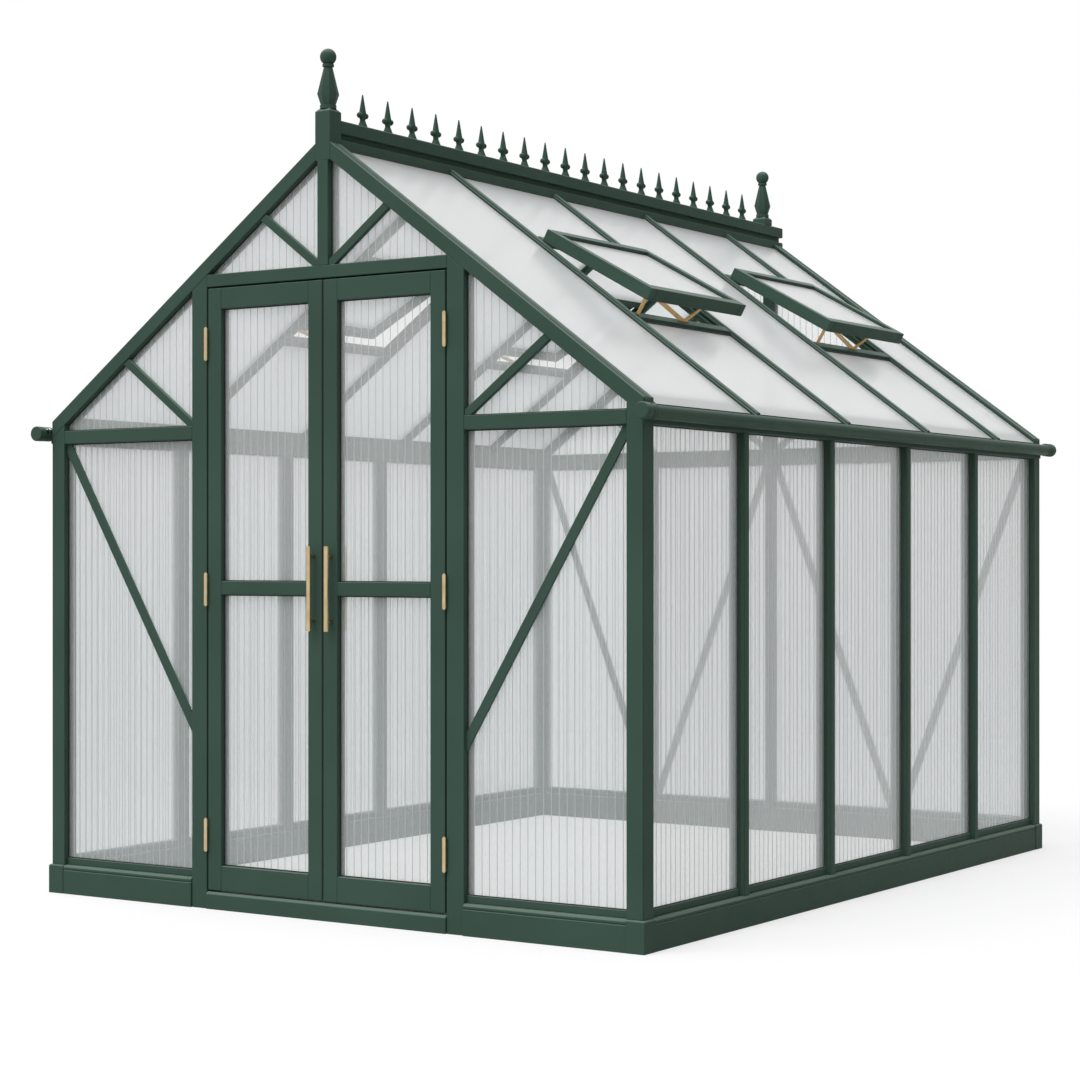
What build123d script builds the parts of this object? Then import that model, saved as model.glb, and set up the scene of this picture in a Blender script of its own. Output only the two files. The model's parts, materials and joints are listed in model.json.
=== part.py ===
from build123d import *
from math import cos, radians, sin, tan
import os

# Greenhouse with a powder coated frame, twin-wall sheets and a pair of doors.
# X runs across the gables, Y from the front gable to the rear one, Z up. All lengths in mm.

# Plan and roof.
base_width = 2440
base_length = 3120
side_bays = 5
rear_bays = 4
# Each roof bay is this share of a wall bay, and the rearmost one takes what is left.
roof_bay_share = 1.07
roof_pitch = 36.25
roof_overhang = 20

# Base: skirts, corner boots and the rail that takes the lower edge of every sheet.
skirt_height = 100
skirt_chamfer = 7
skirt_groove_height = 82
skirt_groove_width = 4
skirt_groove_depth = 3
boot_proud = 2
boot_chamfer = 4
glazing_rail_height = 24

# Posts, jambs and rails are flush outside, set back from the face of the base.
frame_setback = 6
post_width = 60
post_chamfer = 3
jamb_width = 66
sill_height = 58
sill_chamfer = 8
head_height = 41
mid_rail_height = 45
king_post_width = 44
rafter_depth = 46
rafter_flute_width = 6
rafter_flute_depth = 5
rafter_flute_shares = (0.3, 0.55)

# Twin-wall sheets and the grooves that hold them.
sheet_thickness = 10
sheet_setback = 22
sheet_gap = 2
groove_depth = 8

# Glazing bars: an outer cap on a lip, a web between the sheets, an inner flange and a stem.
bar_cap_width = 34
bar_cap_chamfer = 3
bar_lip_width = 46
bar_lip_thickness = 6
bar_web_width = 8
bar_stem_width = 20

# The bars of the roof are slimmer and stand less proud of their sheets.
roof_sheet_setback = 13
roof_cap_width = 24
roof_lip_width = 38

# Diagonal members of the gables and walls.
strut_width = 28
strut_pitch = 37
strut_face_setback = 4
brace_width = 32
brace_thickness = 8
brace_foot_height = 600

# Eaves.
eave_beam_height = 95
gutter_radius = 24
gutter_wall = 3
gutter_lip_angle = 50
gutter_drop = 15
gutter_flange_height = 34
gutter_end_overhang = 42
cap_radius = 26
cap_length = 14
cap_edge_chamfer = 3

# Ridge, cresting and finials.
ridge_width = 60
ridge_rise = 56
ridge_chamfer = 4
ridge_face_height = 43
ridge_recess_height = 21
ridge_neck_width = 24
ridge_rear_overhang = 25
plinth_rise = 90
plinth_chamfer = 10
rear_finial_inset = 75
cresting_count = 20
cresting_end_gap = 182
spike_height = 110
spike_tip_radius = 2
spike_base_radius = 17
spike_base_thickness = 3
spike_neck_radius = 9
spike_neck_height = 24
spike_body_radius = 12.5
spike_body_height = 46
lobe_radius = 10
lobe_spread = 16
lobe_height = 41
finial_foot_radius = 27
finial_foot_height = 12
finial_waist_radius = 24
finial_belly_radius = 36
finial_belly_height = 48
finial_neck_radius = 15
finial_neck_height = 134
finial_collar_radius = 19
finial_collar_height = 138
finial_collar_thickness = 8
finial_ball_radius = 27
finial_ball_sink = 3
finial_sides = 8

# Roof vents, held open by brass stays.
vent_top_share = 0.33
vent_foot_share = 0.643
vent_open_angle = 7.5
vent_side_gap = 8
vent_frame_width = 36
vent_frame_depth = 44
vent_sheet_setback = 12
vent_seat_gap = 0.3
curb_width = 34
stay_width = 16
stay_thickness = 5
stay_seat_gap = 0.7
stay_long_reach = 210
stay_short_reach = 64
side_stay_width = 18

# Doors.
leaf_width = 486
leaf_height = 2014
leaf_thickness = 44
leaf_gap = 6
leaf_sheet_setback = 18
stile_width = 57
top_rail_height = 70
lock_rail_height = 45
bottom_rail_height = 83
lock_rail_centre = 1012

# Strips that stop the draught behind the edges of the closed leaves.
stop_width = 15
stop_gap = 6
stop_joint = 1

# Brass pull handles, one on each face of each leaf.
handle_length = 275
handle_radius = 8
handle_stand_off = 18
handle_edge_distance = 33
handle_post_radius = 6
handle_post_inset = 32

# Brass butt hinges, three to a leaf.
hinge_length = 107
hinge_end_distance = 185
barrel_radius = 7
barrel_stand_off = 0.5
pin_radius = 4
pin_head_height = 3
pin_clearance = 0.05
knuckle_gap = 0.5
knuckle_share = 0.34
plate_thickness = 2.5
plate_depth = 30

# One length by which cutting shapes run past what they cut.
overrun = 50

# Places worked out from the sizes above.
slope = tan(radians(roof_pitch))
pitch_cos = cos(radians(roof_pitch))
pitch_sin = sin(radians(roof_pitch))
base_half_width = base_width / 2
base_half_length = base_length / 2
frame_half_width = base_half_width - frame_setback
frame_half_length = base_half_length - frame_setback
inner_half_width = frame_half_width - post_width
inner_half_length = frame_half_length - post_width
skirt_depth = frame_setback + post_width
sheet_back = sheet_setback + sheet_thickness
sheet_middle = sheet_setback + sheet_thickness / 2
roof_sheet_back = roof_sheet_setback + sheet_thickness
roof_sheet_middle = roof_sheet_setback + sheet_thickness / 2
bar_cap_depth = sheet_setback - bar_lip_thickness
bar_flange_back = sheet_back + bar_lip_thickness
sheet_bite = groove_depth - sheet_gap
side_pitch = (2 * frame_half_length - post_width) / side_bays
rear_pitch = (2 * frame_half_width - post_width) / rear_bays
side_bar_places = [side_pitch * (bay - side_bays / 2) for bay in range(1, side_bays)]
rear_bar_places = [rear_pitch * (bay - rear_bays / 2) for bay in range(1, rear_bays)]
post_middle = frame_half_length - post_width / 2
roof_bay = side_pitch * roof_bay_share
roof_bar_places = [roof_bay * bay - post_middle for bay in range(1, side_bays)]
vent_bays = range(1, side_bays, 2)

opening_half = leaf_width + leaf_gap * 3 / 2
jamb_outer = opening_half + jamb_width
leaf_bottom = sill_height + leaf_gap
leaf_top = leaf_bottom + leaf_height
head_bottom = leaf_top + leaf_gap
head_top = head_bottom + head_height

# The rafters pass just over the ends of the door head, which sets the height of the ridge.
rafter_drop = rafter_depth / pitch_cos
ridge_height = head_top + rafter_drop + opening_half * slope
ridge_half = ridge_width / 2
ridge_top = ridge_height + ridge_rise
king_half = king_post_width / 2


def roof_line(x, depth=0):
    """Height at x of a plane that lies depth below the outer face of the roof."""
    return ridge_height - x * slope - depth / pitch_cos


ridge_bottom = roof_line(ridge_half, rafter_depth)
eave_bottom = roof_line(inner_half_width, roof_sheet_back) - eave_beam_height
rear_rail_top = roof_line(inner_half_width, rafter_depth)
mid_rail_top = eave_bottom + mid_rail_height
rail_top = skirt_height + glazing_rail_height
sheet_bottom = rail_top - groove_depth + sheet_gap
sheet_top = eave_bottom + sheet_bite
gutter_height = roof_line(frame_half_width, roof_sheet_back) - gutter_drop
slope_length = frame_half_width / pitch_cos
vent_top = slope_length * vent_top_share
vent_foot = slope_length * vent_foot_share
vent_length = vent_foot - vent_top

# Working planes. In plan the wall planes have local Y pointing outward.
front_plan = Plane(origin=(0, -frame_half_length, 0), x_dir=(-1, 0, 0), z_dir=(0, 0, 1))
rear_plan = Plane(origin=(0, frame_half_length, 0), x_dir=(1, 0, 0), z_dir=(0, 0, 1))
right_plan = Plane(origin=(frame_half_width, 0, 0), x_dir=(0, -1, 0), z_dir=(0, 0, 1))
# In elevation local X runs across the gable, local Y up and the normal outward.
front_elevation = Plane(origin=(0, -frame_half_length, 0), x_dir=(1, 0, 0), z_dir=(0, -1, 0))
rear_elevation = Plane(origin=(0, frame_half_length, 0), x_dir=(-1, 0, 0), z_dir=(0, 1, 0))
# The right slope: local X down the slope, local Y to the rear, the normal outward.
right_roof = Plane(
    origin=(0, 0, ridge_height),
    x_dir=(pitch_cos, 0, -pitch_sin),
    z_dir=(pitch_sin, 0, pitch_cos),
)
# A section across the slope: local X to the rear, local Y outward, the normal down the slope.
roof_section = Plane(
    origin=(0, 0, ridge_height),
    x_dir=(0, 1, 0),
    z_dir=(pitch_cos, 0, -pitch_sin),
)
rafter_seat = right_roof.offset(-rafter_depth)
ridge_side = Plane.YZ.offset(ridge_half)


def bay_spans(places, half_length, inset, bite=0):
    """Spans between bars at the given places, ending bite beyond each end of the wall."""
    starts = [-half_length - bite] + [place + inset for place in places]
    ends = [place - inset for place in places] + [half_length + bite]
    return list(zip(starts, ends))


def span_rectangle(span, low, high):
    """Rectangle over a span along local X, between two levels of local Y."""
    start, end = span
    with Locations(((start + end) / 2, (low + high) / 2)):
        Rectangle(end - start, high - low)


def bar_section(depth, setback, cap_width, lip_width):
    """Section of a glazing bar, with its outer face at local Y = 0."""
    lip_front = setback - bar_lip_thickness
    back = setback + sheet_thickness
    flange_back = back + bar_lip_thickness
    with BuildSketch() as section:
        with BuildLine():
            Polyline(
                (0, 0),
                (cap_width / 2 - bar_cap_chamfer, 0),
                (cap_width / 2, -bar_cap_chamfer),
                (cap_width / 2, -lip_front),
                (lip_width / 2, -lip_front),
                (lip_width / 2, -setback),
                (bar_web_width / 2, -setback),
                (bar_web_width / 2, -back),
                (lip_width / 2, -back),
                (lip_width / 2, -flange_back),
                (bar_stem_width / 2, -flange_back),
                (bar_stem_width / 2, -depth),
                (0, -depth),
            )
            mirror(about=Plane.YZ)
        make_face()
    return section.sketch


wall_bar_section = bar_section(post_width, sheet_setback, bar_cap_width, bar_lip_width)
roof_bar_section = bar_section(rafter_depth, roof_sheet_setback, roof_cap_width, roof_lip_width)
parts = []


def keep(builder, name):
    """Label a finished piece and put it on the list to be written."""
    builder.part.label = name
    parts.append(builder.part)


def keep_mirrored(source, name):
    """Make the left-hand twin of a right-hand piece."""
    with BuildPart() as twin:
        mirror(source.part, about=Plane.YZ)
    keep(twin, name)


# Base.
skirt_outline = [
    (0, 0),
    (0, skirt_groove_height),
    (-skirt_groove_depth, skirt_groove_height),
    (-skirt_groove_depth, skirt_groove_height + skirt_groove_width),
    (0, skirt_groove_height + skirt_groove_width),
    (0, skirt_height - skirt_chamfer),
    (-skirt_chamfer, skirt_height),
    (-skirt_depth, skirt_height),
    (-skirt_depth, 0),
]
skirt_section_side = Plane(
    origin=(base_half_width, -inner_half_length, 0), x_dir=(1, 0, 0), z_dir=(0, -1, 0)
)
with BuildPart() as side_base_skirts:
    with BuildSketch(skirt_section_side):
        Polygon(*skirt_outline, align=None)
    extrude(amount=-2 * inner_half_length)
    mirror(about=Plane.YZ)
keep(side_base_skirts, "side_base_skirts")

skirt_section_rear = Plane(
    origin=(-inner_half_width, base_half_length, 0), x_dir=(0, 1, 0), z_dir=(1, 0, 0)
)
skirt_section_front = Plane(
    origin=(jamb_outer, -base_half_length, 0), x_dir=(0, -1, 0), z_dir=(-1, 0, 0)
)
with BuildPart() as end_base_skirts:
    with BuildSketch(skirt_section_rear):
        Polygon(*skirt_outline, align=None)
    extrude(amount=2 * inner_half_width)
    with BuildSketch(skirt_section_front):
        Polygon(*skirt_outline, align=None)
    front_run = extrude(amount=-(inner_half_width - jamb_outer))
    mirror(front_run, about=Plane.YZ)
keep(end_base_skirts, "end_base_skirts")

boot_side = skirt_depth + boot_proud
with BuildPart() as base_corner_boots:
    with BuildSketch():
        with Locations((inner_half_width, -inner_half_length)):
            Rectangle(boot_side, boot_side, align=(Align.MIN, Align.MAX))
    extrude(amount=skirt_height)
    top_edges = base_corner_boots.faces().sort_by(Axis.Z)[-1].edges()
    chamfer([top_edges.sort_by(Axis.X)[-1], top_edges.sort_by(Axis.Y)[0]], boot_chamfer)
    mirror(about=Plane.YZ)
    mirror(about=Plane.XZ)
keep(base_corner_boots, "base_corner_boots")

with BuildPart() as door_sill:
    with BuildSketch(Plane.YZ.offset(-opening_half)):
        with Locations((-base_half_length, 0)):
            Rectangle(skirt_depth, sill_height, align=Align.MIN)
    extrude(amount=2 * opening_half)
    chamfer(door_sill.faces().sort_by(Axis.Z)[-1].edges().sort_by(Axis.Y)[0], sill_chamfer)
keep(door_sill, "door_sill")

rail_front = -bar_cap_depth
rail_back = -bar_flange_back
side_lip_spans = bay_spans(side_bar_places, inner_half_length, bar_lip_width / 2)
rear_lip_spans = bay_spans(rear_bar_places, inner_half_width, bar_lip_width / 2)
front_spans = [(-inner_half_width, -jamb_outer), (jamb_outer, inner_half_width)]
wall_rails = [
    (right_plan, side_lip_spans, "side"),
    (rear_plan, rear_lip_spans, "end"),
    (front_plan, front_spans, "end"),
]
for place in ("side", "end"):
    with BuildPart() as glazing_rails:
        for plan, spans, wall in wall_rails:
            if wall == place:
                with BuildSketch(plan.offset(skirt_height)):
                    for span in spans:
                        span_rectangle(span, rail_back, rail_front)
                extrude(amount=glazing_rail_height)
                with BuildSketch(plan.offset(rail_top - groove_depth)):
                    for span in spans:
                        span_rectangle(span, -sheet_back, -sheet_setback)
                extrude(amount=groove_depth, mode=Mode.SUBTRACT)
        if place == "side":
            mirror(about=Plane.YZ)
    keep(glazing_rails, place + "_glazing_rails")

# Posts and bars of the walls.
with BuildPart() as corner_posts:
    with BuildSketch(Plane.XY.offset(skirt_height)):
        with Locations((inner_half_width, -inner_half_length)):
            Rectangle(post_width, post_width, align=(Align.MIN, Align.MAX))
        with Locations((inner_half_width, -frame_half_length + sheet_middle)):
            Rectangle(2 * groove_depth, sheet_thickness, mode=Mode.SUBTRACT)
        with Locations((frame_half_width - sheet_middle, -inner_half_length)):
            Rectangle(sheet_thickness, 2 * groove_depth, mode=Mode.SUBTRACT)
    extrude(amount=ridge_height)
    outer_edge = corner_posts.edges().filter_by(Axis.Z).sort_by(Axis.Y)[:2].sort_by(Axis.X)[-1]
    chamfer(outer_edge, post_chamfer)
    split(bisect_by=rafter_seat, keep=Keep.BOTTOM)
    mirror(about=Plane.YZ)
    mirror(about=Plane.XZ)
keep(corner_posts, "corner_posts")

with BuildPart() as door_jambs:
    with BuildSketch():
        with Locations((opening_half, -inner_half_length)):
            Rectangle(jamb_width, post_width, align=(Align.MIN, Align.MAX))
        with Locations((jamb_outer, -frame_half_length + sheet_middle)):
            Rectangle(2 * groove_depth, sheet_thickness, mode=Mode.SUBTRACT)
    extrude(amount=ridge_height)
    split(bisect_by=rafter_seat, keep=Keep.BOTTOM)
    mirror(about=Plane.YZ)
keep(door_jambs, "door_jambs")

with BuildPart() as door_head:
    with BuildSketch(front_plan.offset(head_bottom)):
        span_rectangle((-opening_half, opening_half), -post_width, 0)
    extrude(amount=head_height)
keep(door_head, "door_head")

# Door stops: a strip on each jamb and one under the head, just behind the closed leaves.
stop_front = -leaf_thickness - stop_gap
with BuildPart() as door_stops:
    with BuildSketch(front_plan.offset(sill_height)):
        span_rectangle((opening_half - stop_width, opening_half), -post_width, stop_front)
    jamb_stop = extrude(amount=head_bottom - stop_width - stop_joint - sill_height)
    mirror(jamb_stop, about=Plane.YZ)
    with BuildSketch(front_plan.offset(head_bottom - stop_width)):
        span_rectangle((-opening_half, opening_half), -post_width, stop_front)
    extrude(amount=stop_width)
keep(door_stops, "door_stops")

bar_length = eave_bottom - skirt_height
with BuildPart() as side_wall_bars:
    with BuildSketch(right_plan.offset(skirt_height)):
        with Locations(*[(place, 0) for place in side_bar_places]):
            add(wall_bar_section)
    extrude(amount=bar_length)
    mirror(about=Plane.YZ)
keep(side_wall_bars, "side_wall_bars")

with BuildPart() as rear_wall_bars:
    with BuildSketch(rear_plan.offset(skirt_height)):
        with Locations(*[(place, 0) for place in rear_bar_places]):
            add(wall_bar_section)
    extrude(amount=bar_length)
keep(rear_wall_bars, "rear_wall_bars")

with BuildPart() as front_mid_rails:
    with BuildSketch(front_plan.offset(eave_bottom)):
        for span in front_spans:
            span_rectangle(span, -post_width, 0)
    extrude(amount=mid_rail_height)
    with BuildSketch(front_plan.offset(eave_bottom)):
        for span in front_spans:
            span_rectangle(span, -sheet_back, -sheet_setback)
    extrude(amount=groove_depth, mode=Mode.SUBTRACT)
keep(front_mid_rails, "front_mid_rails")

rear_span = (-inner_half_width, inner_half_width)
with BuildPart() as rear_eave_rail:
    with BuildSketch(rear_plan.offset(eave_bottom)):
        span_rectangle(rear_span, -post_width, 0)
    extrude(amount=rear_rail_top - eave_bottom)
    with BuildSketch(rear_plan.offset(eave_bottom)):
        span_rectangle(rear_span, -sheet_back, -sheet_setback)
    extrude(amount=groove_depth, mode=Mode.SUBTRACT)
keep(rear_eave_rail, "rear_eave_rail")

# Gables. Each clear field is bounded by the posts, a rail or the door head, and the rafters.
upper_field = [
    (king_half, head_top),
    (king_half, ridge_bottom),
    (ridge_half, ridge_bottom),
    (opening_half, head_top),
]
side_field = [
    (jamb_outer, mid_rail_top),
    (jamb_outer, roof_line(jamb_outer, rafter_depth)),
    (inner_half_width, roof_line(inner_half_width, rafter_depth)),
    (inner_half_width, mid_rail_top),
]
rear_field = [
    (king_half, rear_rail_top),
    (king_half, ridge_bottom),
    (ridge_half, ridge_bottom),
    (inner_half_width, rear_rail_top),
]
king_posts_at = [(front_elevation, head_top), (rear_elevation, rear_rail_top)]
with BuildPart() as king_posts:
    for elevation, foot in king_posts_at:
        with BuildSketch(elevation):
            with Locations((0, foot)):
                Rectangle(king_post_width, ridge_bottom - foot, align=(Align.CENTER, Align.MIN))
        extrude(amount=-post_width)
keep(king_posts, "king_posts")

gable_fields = [
    (front_elevation, upper_field, (king_half, head_top)),
    (front_elevation, side_field, (jamb_outer, mid_rail_top)),
    (rear_elevation, rear_field, (king_half, rear_rail_top)),
    (rear_elevation, rear_field, (rear_pitch, rear_rail_top)),
]
strut_depth = sheet_setback - strut_face_setback
with BuildPart() as gable_struts:
    for elevation, field, foot in gable_fields:
        with BuildSketch(elevation.offset(-strut_face_setback)):
            with Locations(foot):
                Rectangle(base_width, strut_width, rotation=strut_pitch)
            Polygon(*field, align=None, mode=Mode.INTERSECT)
        extrude(amount=-strut_depth)
    mirror(about=Plane.YZ)
keep(gable_struts, "gable_struts")

gable_sheets = [
    (front_elevation, upper_field),
    (front_elevation, side_field),
    (rear_elevation, rear_field),
]
with BuildPart() as gable_panels:
    for elevation, field in gable_sheets:
        with BuildSketch(elevation.offset(-sheet_setback)):
            Polygon(*field, align=None)
        extrude(amount=-sheet_thickness)
    mirror(about=Plane.YZ)
keep(gable_panels, "gable_panels")

# Flat braces lie on the sheets of the front side bays and, as a W, on the rear wall.
lip_half = bar_lip_width / 2
front_bay = [(jamb_outer, rail_top), (inner_half_width, eave_bottom)]
brace_runs = [(front_elevation, front_bay, front_bay[1], (jamb_outer, brace_foot_height))]
for start, end in rear_lip_spans[rear_bays // 2:]:
    bay = [(start, rail_top), (end, eave_bottom)]
    outer = start > lip_half
    head_point = (end if outer else start, eave_bottom)
    foot_point = (start if outer else end, rail_top)
    brace_runs.append((rear_elevation, bay, head_point, foot_point))
with BuildPart() as wall_braces:
    for elevation, (low_corner, high_corner), head_point, foot_point in brace_runs:
        run = Vector(*head_point) - Vector(*foot_point)
        middle = (Vector(*head_point) + Vector(*foot_point)) / 2
        turn = Vector(1, 0).get_signed_angle(run, Vector(0, 0, 1))
        bay_width = high_corner[0] - low_corner[0]
        bay_height = high_corner[1] - low_corner[1]
        with BuildSketch(elevation.offset(brace_thickness - sheet_setback)):
            with Locations(middle):
                Rectangle(run.length + overrun, brace_width, rotation=turn)
            with Locations(low_corner):
                Rectangle(bay_width, bay_height, align=Align.MIN, mode=Mode.INTERSECT)
        extrude(amount=-brace_thickness)
    mirror(about=Plane.YZ)
keep(wall_braces, "wall_braces")

# Gable rafters with two flutes along the top and a groove for the roof sheet.
with BuildPart() as gable_rafters:
    with BuildSketch(roof_section):
        with Locations((-inner_half_length, 0)):
            Rectangle(post_width, rafter_depth, align=Align.MAX)
        for share in rafter_flute_shares:
            with Locations((-frame_half_length + post_width * share, 0)):
                Rectangle(rafter_flute_width, 2 * rafter_flute_depth, mode=Mode.SUBTRACT)
        with Locations((-inner_half_length, -roof_sheet_middle)):
            Rectangle(2 * groove_depth, sheet_thickness, mode=Mode.SUBTRACT)
    extrude(amount=slope_length + overrun)
    split(bisect_by=ridge_side, keep=Keep.TOP)
    split(bisect_by=Plane.YZ.offset(frame_half_width), keep=Keep.BOTTOM)
    mirror(about=Plane.YZ)
    mirror(about=Plane.XZ)
keep(gable_rafters, "gable_rafters")

# Eaves: a beam whose top follows the roof, and an open gutter with round end caps.
with BuildPart() as eave_beams:
    with BuildSketch(Plane.XZ.offset(-inner_half_length)):
        Polygon(
            (inner_half_width, eave_bottom),
            (frame_half_width, eave_bottom),
            (frame_half_width, roof_line(frame_half_width, roof_sheet_back)),
            (inner_half_width, roof_line(inner_half_width, roof_sheet_back)),
            align=None,
        )
    extrude(amount=2 * inner_half_length)
    with BuildSketch(right_plan.offset(eave_bottom)):
        span_rectangle((-inner_half_length, inner_half_length), -sheet_back, -sheet_setback)
    extrude(amount=groove_depth, mode=Mode.SUBTRACT)
    mirror(about=Plane.YZ)
keep(eave_beams, "eave_beams")

gutter_x = frame_half_width + gutter_radius
gutter_half_length = frame_half_length + gutter_end_overhang
gutter_arc = 180 + gutter_lip_angle
with BuildPart() as gutters:
    with BuildSketch(Plane.XZ.offset(-gutter_half_length)):
        with BuildLine():
            lower = CenterArc((gutter_x, gutter_height), gutter_radius, 180, gutter_arc)
            upper = CenterArc((gutter_x, gutter_height), gutter_radius - gutter_wall, 180, gutter_arc)
            Line(lower @ 0, upper @ 0)
            Line(lower @ 1, upper @ 1)
        make_face()
    extrude(amount=2 * gutter_half_length)
    with BuildSketch(Plane.XZ.offset(-frame_half_length)):
        with Locations((frame_half_width, gutter_height)):
            Rectangle(gutter_wall, gutter_flange_height, align=(Align.MIN, Align.MAX))
    extrude(amount=2 * frame_half_length)
    mirror(about=Plane.YZ)
keep(gutters, "gutters")

cap_plane = Plane.XZ.offset(gutter_half_length)
with BuildPart() as gutter_end_caps:
    with BuildSketch(cap_plane):
        with Locations((gutter_x, gutter_height)):
            Circle(cap_radius)
    extrude(amount=cap_length)
    chamfer(gutter_end_caps.edges().sort_by(Axis.Y)[0], cap_edge_chamfer)
    mirror(about=Plane.YZ)
    mirror(about=Plane.XZ)
keep(gutter_end_caps, "gutter_end_caps")

# Ridge beam: a capping box on a narrow neck, above a body that takes the bars and the sheets.
neck_half = ridge_neck_width / 2
neck_top = ridge_top - ridge_face_height
neck_bottom = neck_top - ridge_recess_height
with BuildPart() as ridge_beam:
    with BuildSketch(Plane.XZ.offset(inner_half_length)):
        with BuildLine():
            Polyline(
                (0, ridge_top),
                (ridge_half - ridge_chamfer, ridge_top),
                (ridge_half, ridge_top - ridge_chamfer),
                (ridge_half, neck_top),
                (neck_half, neck_top),
                (neck_half, neck_bottom),
                (ridge_half, neck_bottom),
                (ridge_half, ridge_bottom),
                (0, ridge_bottom),
            )
            mirror(about=Plane.YZ)
        make_face()
    extrude(amount=-(inner_half_length + frame_half_length + ridge_rear_overhang))
keep(ridge_beam, "ridge_beam")

# Cresting: a row of cast spear points, each with a lobe before and behind it.
rear_finial_place = post_middle - rear_finial_inset
cresting_middle = (rear_finial_place - post_middle) / 2
cresting_length = rear_finial_place + post_middle - 2 * cresting_end_gap
cresting_pitch = cresting_length / (cresting_count - 1)
with BuildPart() as spike:
    with BuildSketch(Plane.XZ):
        with BuildLine():
            foot = Line((0, 0), (spike_base_radius, 0))
            edge = Line(foot @ 1, (spike_base_radius, spike_base_thickness))
            flare = Line(edge @ 1, (spike_neck_radius, spike_neck_height))
            body = Line(flare @ 1, (spike_body_radius, spike_body_height))
            point = Line(body @ 1, (spike_tip_radius, spike_height))
            tip = Line(point @ 1, (0, spike_height))
            Line(tip @ 1, foot @ 0)
        make_face()
    revolve(axis=Axis.Z)
    with Locations((0, lobe_spread, lobe_height), (0, -lobe_spread, lobe_height)):
        Sphere(lobe_radius)

with BuildPart() as ridge_cresting:
    with Locations((0, cresting_middle, ridge_top)):
        with GridLocations(0, cresting_pitch, 1, cresting_count):
            add(spike.part)
keep(ridge_cresting, "ridge_cresting")

# Finials: a square plinth, an eight-sided baluster between two collars, and a ball.
plinth_top = ridge_height + plinth_rise


def finial(plane, plinth_height):
    """Finial whose plinth stands on the given plane."""
    with BuildPart() as made:
        with BuildSketch(plane):
            Rectangle(ridge_width, post_width)
        extrude(amount=plinth_height)
        chamfer(made.faces().sort_by(Axis.Z)[-1].edges(), plinth_chamfer)
        seat = plane.offset(plinth_height)
        with BuildSketch(seat):
            Circle(finial_foot_radius)
        extrude(amount=finial_foot_height)
        lower_levels = [
            (finial_foot_height, finial_waist_radius),
            (finial_belly_height, finial_belly_radius),
        ]
        upper_levels = [
            (finial_belly_height, finial_belly_radius),
            (finial_neck_height, finial_neck_radius),
        ]
        for levels in (lower_levels, upper_levels):
            for height, radius in levels:
                with BuildSketch(seat.offset(height)):
                    RegularPolygon(radius, finial_sides)
            loft()
        with BuildSketch(seat.offset(finial_neck_height)):
            Circle(finial_neck_radius * cos(radians(180 / finial_sides)))
        extrude(amount=finial_collar_height - finial_neck_height)
        with BuildSketch(seat.offset(finial_collar_height)):
            Circle(finial_collar_radius)
        extrude(amount=finial_collar_thickness)
        ball_height = finial_collar_height + finial_collar_thickness + finial_ball_radius
        with Locations(seat.offset(ball_height - finial_ball_sink)):
            Sphere(finial_ball_radius)
    return made


front_finial = finial(Plane(origin=(0, -post_middle, ridge_bottom)), plinth_top - ridge_bottom)
rear_finial = finial(Plane(origin=(0, rear_finial_place, ridge_top)), plinth_top - ridge_top)
with BuildPart() as finials:
    add(front_finial.part)
    add(rear_finial.part)
keep(finials, "finials")

# Roof bars, notched where they sit on the eave beam.
bar_tip = frame_half_width + roof_overhang
with BuildPart() as roof_bars:
    with BuildSketch(roof_section):
        with Locations(*[(place, 0) for place in roof_bar_places]):
            add(roof_bar_section)
    extrude(amount=slope_length + overrun)
    split(bisect_by=ridge_side, keep=Keep.TOP)
    split(bisect_by=Plane.YZ.offset(bar_tip), keep=Keep.BOTTOM)
    with BuildSketch(Plane.XZ.offset(-frame_half_length)):
        Polygon(
            (inner_half_width, eave_bottom),
            (bar_tip + overrun, eave_bottom),
            (bar_tip + overrun, roof_line(bar_tip + overrun, roof_sheet_back)),
            (inner_half_width, roof_line(inner_half_width, roof_sheet_back)),
            align=None,
        )
    extrude(amount=2 * frame_half_length, mode=Mode.SUBTRACT)
    mirror(about=Plane.YZ)
keep(roof_bars, "roof_bars")

# Sheets of the walls and of the roof.
web_inset = bar_web_width / 2 + sheet_gap
sheet_height = sheet_top - sheet_bottom
side_sheet_spans = bay_spans(side_bar_places, inner_half_length, web_inset, sheet_bite)
rear_sheet_spans = bay_spans(rear_bar_places, inner_half_width, web_inset, sheet_bite)
roof_sheet_spans = bay_spans(roof_bar_places, inner_half_length, web_inset, sheet_bite)
front_sheet_spans = [(start - sheet_bite, end + sheet_bite) for start, end in front_spans]
with BuildPart() as side_wall_panels:
    with BuildSketch(right_plan.offset(sheet_bottom)):
        for span in side_sheet_spans:
            span_rectangle(span, -sheet_back, -sheet_setback)
    extrude(amount=sheet_height)
    mirror(about=Plane.YZ)
keep(side_wall_panels, "side_wall_panels")

with BuildPart() as end_wall_panels:
    for plan, spans in ((rear_plan, rear_sheet_spans), (front_plan, front_sheet_spans)):
        with BuildSketch(plan.offset(sheet_bottom)):
            for span in spans:
                span_rectangle(span, -sheet_back, -sheet_setback)
        extrude(amount=sheet_height)
keep(end_wall_panels, "end_wall_panels")

sheet_tip = bar_tip / pitch_cos
with BuildPart() as roof_panels:
    with BuildSketch(right_roof.offset(-roof_sheet_setback)):
        for bay, span in enumerate(roof_sheet_spans):
            runs = [(0, sheet_tip)]
            if bay in vent_bays:
                runs = [(0, vent_top - curb_width), (vent_foot, sheet_tip)]
            for upper_end, lower_end in runs:
                span_rectangle((upper_end, lower_end), span[0], span[1])
    extrude(amount=-sheet_thickness)
    split(bisect_by=ridge_side, keep=Keep.TOP)
    mirror(about=Plane.YZ)
keep(roof_panels, "roof_panels")

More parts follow.
